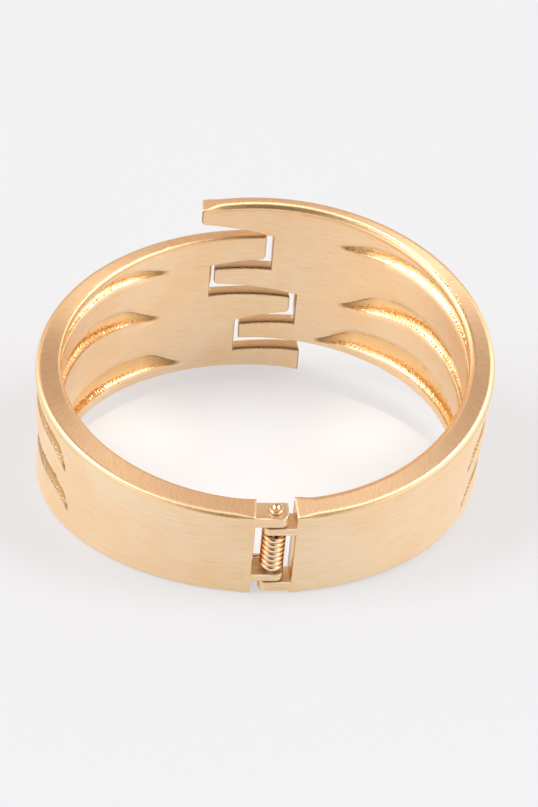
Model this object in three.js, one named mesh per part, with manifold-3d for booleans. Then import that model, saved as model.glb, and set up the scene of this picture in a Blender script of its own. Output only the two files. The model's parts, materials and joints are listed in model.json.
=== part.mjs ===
// A hinged cuff bracelet in gold-plated metal, lying on its side. Millimetres, +Z up.
// Two cast halves turn on a pin at the back. At the front each half splits into three tapered
// fingers that lie between the other half's. Valleys part the fingers on the outside of the band,
// and a groove runs behind each finger on the inside.
import * as THREE from "three";
import { mergeVertices } from "three/addons/utils/BufferGeometryUtils.js";
import Module from "manifold-3d";

const wasm = await Module();
wasm.setup();

// The band, an ellipse in plan with the hinge at -Y and the fingers at +Y.
const outerWidth = 66;
const outerDepth = 57;
const wallAtHinge = 3.6;
const wallAtSides = 3.7;
const wallAtFingers = 2.2;
const edgeRadius = 0.55;

// Each half is as tall as the hinge at the back. Towards the fingers one rim spreads a little
// and the other a lot: the left half drops and the right half climbs.
const hingeHeight = 15.7;
const shortSpread = 2.8;
const longSpread = 9.2;

// The fingers.
const longestReach = 8.3;
const leftSlotGap = 0.65;
const rightSlotGap = 1;
const topCornerRadius = 0.3;
const lowCornerRadius = 1.1;

// Relief of the band.
const valleyDepth = 1.25;
const grooveDepth = 1.45;
const fingerCrown = 0.22;

// The hinge.
const hingeGap = 5.7;
const pinRadius = 0.62;
const pinHeadRadius = 0.95;
const pinHeadHeight = 0.45;
const pinHeadRound = 0.19;
const pinDimpleRadius = 0.43;
const pinDimpleDepth = 0.22;
const pinClearance = 0.3;
const headClearance = 0.12;
const lugThickness = 1.35;
const capLugThickness = 1.85;
const lugGap = 0.3;
const lugReach = 1.75;
const lugInset = 0.25;
const lugCornerRadius = 1.1;
const lugRoot = 1.2;

// The torsion spring.
const springWire = 0.8;
const springTurns = 7;
const springPlay = 0.3;
const springLegGap = 0.35;

// How finely round things are divided.
const pinSides = 12;
const wireSides = 6;
const wireStepsPerTurn = 14;
const wireStepsPerLeg = 4;
const cornerSteps = 3;

const rad = THREE.MathUtils.degToRad;
const deg = THREE.MathUtils.radToDeg;

const halfWidth = outerWidth / 2;
const halfDepth = outerDepth / 2;
const pinY = -(halfDepth - wallAtHinge / 2);
const stackHeight = hingeHeight + 2 * longSpread;

// The angle of the longest finger's tip, past the middle of the front. The outer valleys fade
// to nothing there, so that the band's cut end is flat.
const tipAngle = -deg(Math.atan2(longestReach, halfDepth));

// Fingers from the top one down. Reach is past the middle of the front, as a share of
// longestReach. The four levels are shares of stackHeight, 0 at its lowest rim and 1 at its
// highest, on the finger's upper and lower edge, at the root and at the tip. A rim finger has
// the rim itself as its upper or lower edge. The slot below it takes the named finger of the
// other half.
const fingers = {
  left: [
    { reach: 0.21, lowRoot: 0.65, lowTip: 0.672, slotTakes: 1 },
    { reach: 0.72, topRoot: 0.472, topTip: 0.463, lowRoot: 0.305, lowTip: 0.361, slotTakes: 2 },
    { reach: 0.99, topRoot: 0.117, topTip: 0.14 },
  ],
  right: [
    { reach: 1, lowRoot: 0.811, lowTip: 0.894, slotTakes: 0 },
    { reach: 0.72, topRoot: 0.621, topTip: 0.627, lowRoot: 0.481, lowTip: 0.534, slotTakes: 1 },
    { reach: 0.19, topRoot: 0.305, topTip: 0.281 },
  ],
};

// Outer valleys, from the lower one up. Each row is at an angle round from the middle of the
// fingers, in degrees. Middle and width are shares of the band's height there, from its lower
// rim, and depth is a share of valleyDepth.
const valleys = {
  left: [
    [
      { angle: tipAngle, middle: 0.275, width: 0.22, depth: 0 },
      { angle: 10, middle: 0.275, width: 0.22, depth: 1 },
      { angle: 56, middle: 0.395, width: 0.2, depth: 1 },
      { angle: 80, middle: 0.41, width: 0.18, depth: 1 },
      { angle: 108, middle: 0.385, width: 0.17, depth: 1 },
      { angle: 114, middle: 0.315, width: 0.16, depth: 1 },
      { angle: 117.5, middle: 0.25, width: 0.08, depth: 0 },
    ],
    [
      { angle: tipAngle, middle: 0.7, width: 0.21, depth: 0 },
      { angle: 10, middle: 0.7, width: 0.21, depth: 1 },
      { angle: 56, middle: 0.775, width: 0.18, depth: 1 },
      { angle: 80, middle: 0.81, width: 0.15, depth: 1 },
      { angle: 108, middle: 0.785, width: 0.15, depth: 1 },
      { angle: 113, middle: 0.735, width: 0.15, depth: 1 },
      { angle: 116.5, middle: 0.655, width: 0.08, depth: 0 },
    ],
  ],
  right: [
    [
      { angle: tipAngle, middle: 0.263, width: 0.2, depth: 0 },
      { angle: 10, middle: 0.263, width: 0.2, depth: 1 },
      { angle: 45, middle: 0.317, width: 0.17, depth: 1 },
      { angle: 76, middle: 0.38, width: 0.17, depth: 1 },
      { angle: 107, middle: 0.315, width: 0.17, depth: 1 },
      { angle: 113, middle: 0.23, width: 0.16, depth: 1 },
      { angle: 116.5, middle: 0.16, width: 0.08, depth: 0 },
    ],
    [
      { angle: tipAngle, middle: 0.665, width: 0.21, depth: 0 },
      { angle: 10, middle: 0.665, width: 0.21, depth: 1 },
      { angle: 45, middle: 0.685, width: 0.19, depth: 1 },
      { angle: 70, middle: 0.745, width: 0.17, depth: 1 },
      { angle: 106, middle: 0.7, width: 0.17, depth: 1 },
      { angle: 112.5, middle: 0.62, width: 0.16, depth: 1 },
      { angle: 116, middle: 0.555, width: 0.08, depth: 0 },
    ],
  ],
};

// Inner grooves, from the upper one down, with the same columns and grooveDepth.
const grooves = {
  left: [
    [
      { angle: 27, middle: 0.828, width: 0.03, depth: 0 },
      { angle: 42, middle: 0.89, width: 0.075, depth: 0.55 },
      { angle: 56, middle: 0.918, width: 0.08, depth: 0.8 },
      { angle: 104, middle: 0.915, width: 0.085, depth: 0.8 },
      { angle: 113, middle: 0.9, width: 0.04, depth: 0 },
    ],
    [
      { angle: 30, middle: 0.489, width: 0.03, depth: 0 },
      { angle: 45, middle: 0.585, width: 0.125, depth: 0.7 },
      { angle: 66, middle: 0.65, width: 0.14, depth: 1 },
      { angle: 104, middle: 0.62, width: 0.16, depth: 1 },
      { angle: 113, middle: 0.57, width: 0.07, depth: 0 },
    ],
    [
      { angle: 22, middle: 0.08, width: 0.03, depth: 0 },
      { angle: 36, middle: 0.145, width: 0.14, depth: 0.7 },
      { angle: 56, middle: 0.16, width: 0.175, depth: 1 },
      { angle: 104, middle: 0.175, width: 0.17, depth: 1 },
      { angle: 113, middle: 0.15, width: 0.07, depth: 0 },
    ],
  ],
  right: [
    [
      { angle: 26, middle: 0.8, width: 0.03, depth: 0 },
      { angle: 40, middle: 0.853, width: 0.08, depth: 0.6 },
      { angle: 57, middle: 0.9, width: 0.09, depth: 0.8 },
      { angle: 104, middle: 0.91, width: 0.085, depth: 0.8 },
      { angle: 113, middle: 0.88, width: 0.04, depth: 0 },
    ],
    [
      { angle: 28, middle: 0.37, width: 0.03, depth: 0 },
      { angle: 43, middle: 0.472, width: 0.145, depth: 0.8 },
      { angle: 62, middle: 0.54, width: 0.13, depth: 1 },
      { angle: 104, middle: 0.52, width: 0.14, depth: 1 },
      { angle: 113, middle: 0.46, width: 0.07, depth: 0 },
    ],
    [
      { angle: 21, middle: 0.044, width: 0.03, depth: 0 },
      { angle: 36, middle: 0.125, width: 0.15, depth: 0.8 },
      { angle: 60, middle: 0.168, width: 0.2, depth: 1 },
      { angle: 104, middle: 0.17, width: 0.17, depth: 1 },
      { angle: 113, middle: 0.14, width: 0.07, depth: 0 },
    ],
  ],
};

// Cross-section of a valley and of a groove: place across it, from its lower edge (-1) to its
// upper edge (1), and share of its depth. A valley's upper wall is steep.
const valleyProfile = [
  { across: -1, depth: 0 },
  { across: -0.5, depth: 0.72 },
  { across: 0.1, depth: 1 },
  { across: 0.7, depth: 0.95 },
  { across: 0.95, depth: 0.6 },
  { across: 1, depth: 0 },
];
const grooveProfile = [
  { across: 1, depth: 0 },
  { across: 0.55, depth: 0.75 },
  { across: 0, depth: 1 },
  { across: -0.55, depth: 0.75 },
  { across: -1, depth: 0 },
];

// Steps along the band, in degrees from the middle of the fingers, short where relief ends.
const bandSteps = [
  { upTo: 14, step: 4.2 },
  { upTo: 46, step: 3.2 },
  { upTo: 103, step: 4.8 },
  { upTo: 117.5, step: 1.8 },
  { upTo: 180, step: 7 },
];

// Value of one column of a table at an angle, straight between its rows.
function columnAt(rows, angle, name) {
  const next = rows.findIndex((row) => row.angle >= angle);
  if (next === 0) return rows[0][name];
  if (next < 0) return rows[rows.length - 1][name];
  const before = rows[next - 1];
  const share = (angle - before.angle) / (rows[next].angle - before.angle);
  return THREE.MathUtils.lerp(before[name], rows[next][name], share);
}

// Place on the outer ellipse in the direction of an angle, with its outward normal.
function outerPoint(angle) {
  const sine = Math.sin(rad(angle));
  const cosine = Math.cos(rad(angle));
  const reach = 1 / Math.hypot(sine / halfWidth, cosine / halfDepth);
  const x = reach * sine;
  const y = reach * cosine;
  const normal = new THREE.Vector2(x / halfWidth ** 2, y / halfDepth ** 2).normalize();
  return { x, y, normal };
}

// Share of the way from the hinge (0) to the fingers (1).
const forward = (y) => (y + halfDepth) / outerDepth;

function wallAt(y) {
  const f = forward(y);
  const straight = THREE.MathUtils.lerp(wallAtHinge, wallAtFingers, f);
  const swell = wallAtSides - (wallAtHinge + wallAtFingers) / 2;
  return straight + swell * 4 * f * (1 - f);
}

// Height of a half's lower and upper rim at a depth y. Both rims are flat planes.
function rimsAt(side, y) {
  const up = side === "left" ? shortSpread : longSpread;
  const down = side === "left" ? longSpread : shortSpread;
  return {
    bottom: -hingeHeight / 2 - down * forward(y),
    top: hingeHeight / 2 + up * forward(y),
  };
}

// One cross-section of a half as a closed ring: up the outer face and down the inner one.
// Each entry has the distance in from the outer face and the share of the height, plus a
// length along the height where an edge is rounded.
function ringAt(side, angle) {
  const wall = wallAt(outerPoint(angle).y);
  const soft = edgeRadius * (1 - Math.SQRT1_2);
  const ring = [
    { inward: edgeRadius, share: 0, rise: 0 },
    { inward: soft, share: 0, rise: soft },
    { inward: 0, share: 0, rise: edgeRadius },
  ];
  let below = 0;
  for (const rows of valleys[side]) {
    const middle = columnAt(rows, angle, "middle");
    const half = columnAt(rows, angle, "width") / 2;
    const depth = valleyDepth * columnAt(rows, angle, "depth");
    const crown = fingerCrown * columnAt(rows, angle, "depth");
    ring.push({ inward: 0, share: (below + middle - half) / 2, rise: 0 });
    for (const p of valleyProfile) {
      const inward = crown + (depth - crown) * p.depth;
      ring.push({ inward, share: middle + half * p.across, rise: 0 });
    }
    below = middle + half;
  }
  ring.push(
    { inward: 0, share: (below + 1) / 2, rise: 0 },
    { inward: 0, share: 1, rise: -edgeRadius },
    { inward: soft, share: 1, rise: -soft },
    { inward: edgeRadius, share: 1, rise: 0 },
    { inward: wall - edgeRadius, share: 1, rise: 0 },
    { inward: wall - soft, share: 1, rise: -soft },
    { inward: wall, share: 1, rise: -edgeRadius },
  );
  for (const rows of grooves[side]) {
    const middle = columnAt(rows, angle, "middle");
    const half = columnAt(rows, angle, "width") / 2;
    const depth = grooveDepth * columnAt(rows, angle, "depth");
    for (const p of grooveProfile) {
      ring.push({ inward: wall - depth * p.depth, share: middle + half * p.across, rise: 0 });
    }
  }
  ring.push(
    { inward: wall, share: 0, rise: edgeRadius },
    { inward: wall - soft, share: 0, rise: soft },
    { inward: wall - edgeRadius, share: 0, rise: 0 },
  );
  return ring;
}

// Angles of the cross-sections, from past the longest finger's tip to the hinge end.
function bandAngles() {
  const spare = 1;
  const widestGap = Math.max(leftSlotGap, rightSlotGap);
  const first = -deg(Math.atan2(longestReach + widestGap, halfDepth)) - spare;
  const ends = -halfDepth * Math.sqrt(1 - (hingeGap / outerWidth) ** 2);
  const last = 180 - deg(Math.atan2(hingeGap / 2, -ends));
  const angles = [first];
  for (const { upTo, step } of bandSteps) {
    const from = angles[angles.length - 1];
    const to = Math.min(upTo, last);
    const count = Math.max(1, Math.round((to - from) / step));
    for (let i = 1; i <= count; i++) angles.push(from + ((to - from) * i) / count);
  }
  return angles;
}

// The plain band of one half, before its slots are cut.
function bandGeometry(side) {
  const sign = side === "left" ? -1 : 1;
  const angles = bandAngles();
  const rings = angles.map((angle) => ringAt(side, angle));
  const count = rings[0].length;
  const positions = [];
  angles.forEach((angle, i) => {
    const outer = outerPoint(angle);
    for (const { inward, share, rise } of rings[i]) {
      const x = sign * (outer.x - outer.normal.x * inward);
      const y = outer.y - outer.normal.y * inward;
      const { bottom, top } = rimsAt(side, y);
      positions.push(x, y, THREE.MathUtils.lerp(bottom, top, share) + rise);
    }
  });
  const faces = [];
  const addFace = (a, b, c) => faces.push(...(sign < 0 ? [a, b, c] : [a, c, b]));
  for (let i = 0; i + 1 < angles.length; i++) {
    for (let j = 0; j < count; j++) {
      const k = (j + 1) % count;
      const near = i * count;
      const far = near + count;
      addFace(near + j, far + j, far + k);
      addFace(near + j, far + k, near + k);
    }
  }
  // Both end faces are flat there, so each is a fan round a point in its middle.
  const addCap = (i, flip) => {
    const start = i * count;
    const hub = positions.length / 3;
    for (let axis = 0; axis < 3; axis++) {
      const values = rings[i].map((_, j) => positions[(start + j) * 3 + axis]);
      positions.push((Math.min(...values) + Math.max(...values)) / 2);
    }
    for (let j = 0; j < count; j++) {
      const k = (j + 1) % count;
      if (flip) addFace(hub, start + k, start + j);
      else addFace(hub, start + j, start + k);
    }
  };
  addCap(0, false);
  addCap(angles.length - 1, true);
  const geometry = new THREE.BufferGeometry();
  geometry.setAttribute("position", new THREE.Float32BufferAttribute(positions, 3));
  geometry.setIndex(faces);
  return geometry;
}

// A closed geometry as a solid that can be joined and cut, and back again.
function toSolid(geometry) {
  const bare = geometry.clone();
  bare.deleteAttribute("normal");
  bare.deleteAttribute("uv");
  const merged = mergeVertices(bare, 1e-4);
  const vertProperties = new Float32Array(merged.attributes.position.array);
  const triVerts = new Uint32Array(merged.index.array);
  return new wasm.Manifold(new wasm.Mesh({ numProp: 3, vertProperties, triVerts }));
}

function toGeometry(solid) {
  const mesh = solid.getMesh();
  const geometry = new THREE.BufferGeometry();
  geometry.setAttribute("position", new THREE.BufferAttribute(mesh.vertProperties, 3));
  geometry.setIndex(new THREE.BufferAttribute(mesh.triVerts, 1));
  const flat = geometry.toNonIndexed();
  flat.computeVertexNormals();
  return flat;
}

// What is cut away in front of a half's fingers, as a prism through the wall. Its outline runs
// down the fingers' edges, with u measured past the middle of the front.
function fingerCut(side) {
  const sign = side === "left" ? 1 : -1;
  const own = fingers[side];
  const other = fingers[side === "left" ? "right" : "left"];
  const level = (share) => (share - 0.5) * stackHeight;
  const beyond = stackHeight;
  const over = 0.2;
  const tip = (finger) => finger.reach * longestReach;
  const slotGap = side === "left" ? leftSlotGap : rightSlotGap;
  const shape = new THREE.Shape();
  shape.moveTo(beyond, level(1 + over));
  shape.lineTo(tip(own[0]), level(1 + over));
  own.forEach((finger, i) => {
    const slotEnd = i < 2 ? -(tip(other[finger.slotTakes]) + slotGap) : 0;
    if (i > 0) {
      shape.lineTo(tip(finger) - topCornerRadius, level(finger.topTip));
      const low = level(finger.topTip) - topCornerRadius;
      shape.quadraticCurveTo(tip(finger), level(finger.topTip), tip(finger), low);
    }
    if (i < 2) {
      shape.lineTo(tip(finger), level(finger.lowTip) + lowCornerRadius);
      const back = tip(finger) - lowCornerRadius;
      shape.quadraticCurveTo(tip(finger), level(finger.lowTip), back, level(finger.lowTip));
      shape.lineTo(slotEnd, level(finger.lowRoot));
      shape.lineTo(slotEnd, level(own[i + 1].topRoot));
    }
  });
  shape.lineTo(tip(own[2]), level(-over));
  shape.lineTo(beyond, level(-over));
  const outline = shape.getPoints(cornerSteps).map((p) => new THREE.Vector2(sign * p.x, p.y));
  const prism = new THREE.ExtrudeGeometry(new THREE.Shape(outline), {
    depth: halfDepth,
    bevelEnabled: false,
  });
  return prism.rotateX(Math.PI / 2).translate(0, halfDepth * 1.5, 0);
}

// Heights of the lugs and the spring along the pin, the same above and below its middle.
const capLugTop = hingeHeight / 2 - lugInset;
const capLugLow = capLugTop - capLugThickness;
const lugTop = capLugLow - lugGap;
const lugLow = lugTop - lugThickness;
const pinHoleRadius = pinRadius + pinClearance;

// One lug of a half: a plate that runs from inside the band's end past the pin, with its outer
// corner rounded.
function lugGeometry(side, low, high) {
  const sign = side === "left" ? 1 : -1;
  const root = -(hingeGap / 2 + lugRoot);
  const outer = pinY - wallAtHinge / 2 + lugInset;
  const inner = pinY + wallAtHinge / 2 - lugInset;
  const shape = new THREE.Shape();
  shape.moveTo(root, inner);
  shape.lineTo(root, outer);
  shape.lineTo(lugReach - lugCornerRadius, outer);
  shape.quadraticCurveTo(lugReach, outer, lugReach, outer + lugCornerRadius);
  shape.lineTo(lugReach, inner);
  const outline = shape.getPoints(cornerSteps).map((p) => new THREE.Vector2(sign * p.x, p.y));
  const plate = new THREE.ExtrudeGeometry(new THREE.Shape(outline), {
    depth: high - low,
    bevelEnabled: false,
  });
  return plate.translate(0, 0, low);
}

function pinHoleGeometry() {
  const radius = pinHoleRadius / Math.cos(Math.PI / pinSides);
  const hole = new THREE.CylinderGeometry(radius, radius, hingeHeight * 2, pinSides);
  return hole.rotateX(Math.PI / 2).translate(0, pinY, 0);
}

function halfGeometry(side) {
  const lugs =
    side === "left"
      ? [
          [capLugLow, capLugTop],
          [-lugTop, -lugLow],
        ]
      : [
          [lugLow, lugTop],
          [-capLugTop, -capLugLow],
        ];
  let half = toSolid(bandGeometry(side)).subtract(toSolid(fingerCut(side)));
  for (const [low, high] of lugs) half = half.add(toSolid(lugGeometry(side, low, high)));
  return toGeometry(half.subtract(toSolid(pinHoleGeometry())));
}

// The pin: a plain shank and a low domed head with a dimple, over the upper cap lug.
function pinGeometry() {
  const headLow = capLugTop + headClearance;
  const headTop = headLow + pinHeadHeight;
  const profile = [
    [0, -capLugTop],
    [pinRadius, -capLugTop],
    [pinRadius, headLow],
    [pinHeadRadius, headLow],
    [pinHeadRadius, headTop - pinHeadRound],
    [pinHeadRadius - pinHeadRound, headTop],
    [pinDimpleRadius, headTop],
    [0, headTop - pinDimpleDepth],
  ].map(([radius, height]) => new THREE.Vector2(radius, height));
  const pin = new THREE.LatheGeometry(profile, pinSides);
  return pin.rotateX(Math.PI / 2).translate(0, pinY, 0);
}

// The spring's wire: a leg from the left half, the turns round the pin, a leg to the right half.
class SpringPath extends THREE.Curve {
  constructor() {
    super();
    this.radius = pinHoleRadius + springWire / 2;
    this.rise = (lugLow - springPlay - springWire / 2) * 2;
    this.leg = hingeGap / 2 - springLegGap;
    this.wound = 2 * Math.PI * springTurns * this.radius;
    this.length = this.wound + 2 * this.leg;
  }

  getPoint(t, target = new THREE.Vector3()) {
    const along = t * this.length;
    const low = -this.rise / 2;
    const back = pinY + this.radius;
    if (along < this.leg) return target.set(along - this.leg, back, low);
    if (along > this.leg + this.wound) {
      return target.set(along - this.leg - this.wound, back, -low);
    }
    const turned = (along - this.leg) / this.radius;
    const up = (along - this.leg) / this.wound;
    return target.set(
      this.radius * Math.sin(turned),
      pinY + this.radius * Math.cos(turned),
      low + this.rise * up,
    );
  }
}

function springGeometry() {
  const section = new THREE.Shape();
  for (let i = 0; i < wireSides; i++) {
    const angle = (2 * Math.PI * i) / wireSides;
    const x = (springWire / 2) * Math.cos(angle);
    const y = (springWire / 2) * Math.sin(angle);
    if (i === 0) section.moveTo(x, y);
    else section.lineTo(x, y);
  }
  return new THREE.ExtrudeGeometry(section, {
    steps: springTurns * wireStepsPerTurn + 2 * wireStepsPerLeg,
    extrudePath: new SpringPath(),
  });
}

const satinGold = new THREE.MeshStandardMaterial({ color: 0xdcab7c, metalness: 1, roughness: 0.38 });
const satinGoldRight = satinGold.clone();
const brightGold = new THREE.MeshStandardMaterial({ color: 0xe0a460, metalness: 1, roughness: 0.15 });
const springGold = brightGold.clone();

function addMesh(group, name, geometry, material) {
  const mesh = new THREE.Mesh(geometry, material);
  mesh.name = name;
  group.add(mesh);
  return mesh;
}

// The bracelet lies on the left half's lower rim, which is level once the whole is tilted by
// that rim's slope. The origin is on the floor, under the middle of the bracelet's box.
const lying = new THREE.Group();
addMesh(lying, "left_cuff_half", halfGeometry("left"), satinGold);
addMesh(lying, "right_cuff_half", halfGeometry("right"), satinGoldRight);
addMesh(lying, "hinge_pin", pinGeometry(), brightGold);
addMesh(lying, "hinge_spring", springGeometry(), springGold);
lying.rotation.x = Math.atan2(longSpread, outerDepth);

const bracelet = new THREE.Group();
bracelet.add(lying);
bracelet.updateMatrixWorld(true);
const box = new THREE.Box3().setFromObject(bracelet, true);
const middle = box.getCenter(new THREE.Vector3());
lying.position.set(-middle.x, -middle.y, -box.min.z);

export default bracelet;
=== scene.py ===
# %% [markdown]
# A hinged cuff bracelet in brushed gold plate.
#
# The bracelet is two cast halves that turn on a pin at the back and close at the front with
# interlocking tapered fingers. It lies on its side on a pale table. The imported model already
# holds every piece at its real size, so this lesson loads it as a fixed frame and dresses it:
# smooth castings with rounded edges, a wound spring, a riveted pin, and the gold itself.

# %% Load the frame
import json
import math

import bmesh
import bpy
import numpy as np
from mathutils import Matrix, Vector
from mathutils.geometry import delaunay_2d_cdt


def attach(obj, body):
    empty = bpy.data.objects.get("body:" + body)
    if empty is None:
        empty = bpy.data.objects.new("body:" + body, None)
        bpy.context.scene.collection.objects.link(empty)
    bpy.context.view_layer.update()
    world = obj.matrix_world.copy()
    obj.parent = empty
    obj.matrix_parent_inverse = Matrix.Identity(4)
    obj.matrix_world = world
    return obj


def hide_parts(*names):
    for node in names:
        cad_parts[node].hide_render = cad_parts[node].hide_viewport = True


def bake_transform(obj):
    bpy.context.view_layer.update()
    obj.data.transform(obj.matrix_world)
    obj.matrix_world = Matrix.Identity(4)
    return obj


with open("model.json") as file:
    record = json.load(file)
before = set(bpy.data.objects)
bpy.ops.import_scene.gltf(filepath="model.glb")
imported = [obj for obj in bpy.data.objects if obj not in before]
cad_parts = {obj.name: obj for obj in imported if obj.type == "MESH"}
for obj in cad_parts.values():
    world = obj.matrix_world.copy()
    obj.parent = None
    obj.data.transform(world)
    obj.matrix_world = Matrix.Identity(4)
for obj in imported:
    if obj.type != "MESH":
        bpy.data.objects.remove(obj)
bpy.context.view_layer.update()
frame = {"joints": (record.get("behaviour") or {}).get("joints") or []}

mm = 0.001
cm = 0.01

# %% [markdown]
# The camera comes first, because every later choice is judged through it. The photograph was
# taken with a long lens from above the hinge, a little to the left and slightly rolled. A
# camera can be aimed with a constraint, but a plain turn and place give the same view each
# time and leave nothing live in the scene.

# %% Camera
camera_azimuth = math.radians(-6.2905)
camera_elevation = math.radians(36.0757)
camera_roll = math.radians(3.8701)
camera_place = Vector((-28.136, -265.652, 207.566)) * mm
lens_length = 100.317
film_long_side = 36


def link_piece(name, data):
    piece = bpy.data.objects.new(name, data)
    bpy.context.scene.collection.objects.link(piece)
    return piece


def place_camera():
    upright = Matrix.Rotation(camera_azimuth, 4, "Z")
    raised = upright @ Matrix.Rotation(math.pi / 2 - camera_elevation, 4, "X")
    turn = raised @ Matrix.Rotation(camera_roll, 4, "Z")
    data = bpy.data.cameras.new("camera")
    data.lens = lens_length
    data.sensor_width = film_long_side
    data.clip_start = 1 * mm
    data.clip_end = 10
    camera = link_piece("camera", data)
    camera.matrix_world = Matrix.Translation(camera_place) @ turn
    bpy.context.scene.camera = camera
    return camera


camera = place_camera()
print("camera at", [round(v, 4) for v in camera.location])

# %% [markdown]
# Node trees, for shapes and for materials, are easier to read when a node is one line of code.
# This helper places a node, gives it settings, and fills each input with a plain value or with
# another node's output.

# %% A helper for node trees


class Board:
    """Places nodes on a tree. An input's key is its name, or its number where names repeat."""

    def __init__(self, tree):
        self.tree = tree

    def add(self, kind, inputs=None, **settings):
        node = self.tree.nodes.new(kind)
        for name, value in settings.items():
            setattr(node, name, value)
        for key, value in (inputs or {}).items():
            self.fill(node.inputs[key], value)
        return node

    def out(self, kind, inputs=None, **settings):
        """The first output of a new node."""
        return self.add(kind, inputs, **settings).outputs[0]

    def fill(self, socket, value):
        if isinstance(value, bpy.types.NodeSocket):
            self.tree.links.new(value, socket)
        else:
            socket.default_value = value

    def math(self, operation, *values):
        return self.out("ShaderNodeMath", dict(enumerate(values)), operation=operation)

    def vector(self, operation, *values):
        return self.out("ShaderNodeVectorMath", dict(enumerate(values)), operation=operation)

    def parts(self, vector):
        return self.add("ShaderNodeSeparateXYZ", {0: vector}).outputs

    def join(self, x, y, z):
        return self.out("ShaderNodeCombineXYZ", {0: x, 1: y, 2: z})

    def mix(self, share, low, high):
        """A value between low and high."""
        node = self.add("ShaderNodeMix", {"Factor": share}, data_type="FLOAT")
        self.fill(node.inputs[2], low)
        self.fill(node.inputs[3], high)
        return node.outputs[0]

    def mix_colour(self, share, low, high, blend="MIX"):
        node = self.add("ShaderNodeMix", {"Factor": share}, data_type="RGBA", blend_type=blend)
        self.fill(node.inputs[6], low)
        self.fill(node.inputs[7], high)
        return node.outputs[2]

    def noise(self, place, scale, detail, roughness=0.5):
        return self.out("ShaderNodeTexNoise", {
            "Vector": place, "Scale": scale, "Detail": detail, "Roughness": roughness,
        })

    def ramp(self, value, span, ends=(0.0, 1.0), **settings):
        """What goes from one end to the other while the value crosses the span."""
        return self.out("ShaderNodeMapRange", {
            "Value": value, "From Min": span[0], "From Max": span[1],
            "To Min": ends[0], "To Max": ends[1],
        }, **settings)

    def layer(self, name):
        """A layer of numbers that the mesh carries."""
        return self.add("ShaderNodeAttribute", attribute_name=name).outputs["Fac"]


def new_tree(name, kind, inputs, outputs):
    """A node group with named sockets: each is a name, a kind and, for inputs, a value."""
    tree = bpy.data.node_groups.new(name, kind)
    for label, socket, value in inputs:
        made = tree.interface.new_socket(name=label, in_out="INPUT", socket_type=socket)
        if value is not None:
            made.default_value = value
    for label, socket in outputs:
        tree.interface.new_socket(name=label, in_out="OUTPUT", socket_type=socket)
    board = Board(tree)
    entry = board.add("NodeGroupInput")
    end = board.add("NodeGroupOutput")
    return tree, board, entry.outputs, end.inputs


def shape_tree(name, sizes):
    """A geometry group whose inputs are sizes, the way the piece lies, and its metal."""
    inputs = [("Geometry", "NodeSocketGeometry", None)]
    inputs += [(label, "NodeSocketFloat", value) for label, value in sizes.items()]
    inputs += [("Lean", "NodeSocketFloat", 0.0), ("Lift", "NodeSocketVector", None)]
    inputs += [("Metal", "NodeSocketMaterial", None)]
    return new_tree(name, "GeometryNodeTree", inputs, [("Geometry", "NodeSocketGeometry")])


def lay_and_paint(board, entry, end, shape):
    """The end of each geometry group: the piece leans as it lies and gets its metal."""
    leant = board.out("GeometryNodeTransform", {
        "Geometry": shape,
        "Translation": entry["Lift"],
        "Rotation": board.join(entry["Lean"], 0.0, 0.0),
    })
    smooth = board.out("GeometryNodeSetShadeSmooth", {"Geometry": leant})
    real = board.out("GeometryNodeRealizeInstances", {"Geometry": smooth})
    painted = board.out("GeometryNodeSetMaterial", {"Geometry": real, "Material": entry["Metal"]})
    board.fill(end["Geometry"], painted)


def keep_result(piece, modifier):
    """Makes what a modifier shows the piece's plain mesh, and removes the modifier."""
    bpy.context.view_layer.update()
    seen = piece.evaluated_get(bpy.context.evaluated_depsgraph_get())
    mesh = bpy.data.meshes.new_from_object(seen)
    piece.modifiers.remove(modifier)
    piece.data = mesh


def run_tree(piece, tree, values):
    """Sets a geometry tree's named inputs on a piece and turns what it makes into a plain mesh."""
    modifier = piece.modifiers.new(tree.name, "NODES")
    modifier.node_group = tree
    for item in tree.interface.items_tree:
        if item.in_out == "INPUT" and item.name in values:
            modifier[item.identifier] = values[item.name]
    keep_result(piece, modifier)


def new_material(name, values):
    """A material with plain values on its shader, and the board to place its nodes."""
    material = bpy.data.materials.new(name)
    material.use_nodes = True
    shader = material.node_tree.nodes["Principled BSDF"]
    for label, value in values.items():
        shader.inputs[label].default_value = value
    return material, Board(material.node_tree), shader.inputs


# %% [markdown]
# The band is an oval 66 mm by 57 mm outside. Its wall is thin at the fingers and thick at the
# sides, and each half gets taller towards its fingers: the left half drops and the right half
# climbs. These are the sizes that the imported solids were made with.

# %% Sizes of the band
full_depth = 57 * mm
facet_loss = 0.03 * mm
outer_width = 66 * mm - facet_loss
outer_depth = full_depth - facet_loss
wall_at_hinge = 3.6 * mm
wall_at_sides = 3.7 * mm
wall_at_fingers = 2.2 * mm
hinge_height = 15.7 * mm
short_spread = 2.8 * mm
long_spread = 9.2 * mm
longest_reach = 8.3 * mm
hinge_gap = 5.7 * mm
half_width = outer_width / 2
half_depth = outer_depth / 2
stack_height = hinge_height + 2 * long_spread
lean = math.atan2(long_spread, full_depth)
spreads = {"left": (long_spread, short_spread), "right": (short_spread, long_spread)}


def forward(y):
    """Share of the way from the hinge to the fingers."""
    return (y + full_depth / 2) / full_depth


def wall_at(y):
    f = forward(y)
    swell = wall_at_sides - (wall_at_hinge + wall_at_fingers) / 2
    return wall_at_hinge + (wall_at_fingers - wall_at_hinge) * f + swell * 4 * f * (1 - f)


def rims_at(side, y):
    """Heights of a half's lower and upper rim, both flat planes."""
    down, up = spreads[side]
    low = -hinge_height / 2 - down * forward(y)
    return low, hinge_height / 2 - facet_loss + up * forward(y)


# %% [markdown]
# A casting like this is drawn flat first: a long blank whose length runs along the outside of
# the oval. The table below walks the oval once and gives, at each distance from the middle of
# the fingers, the place on the outer face, the direction out of it and the wall behind it.

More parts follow.
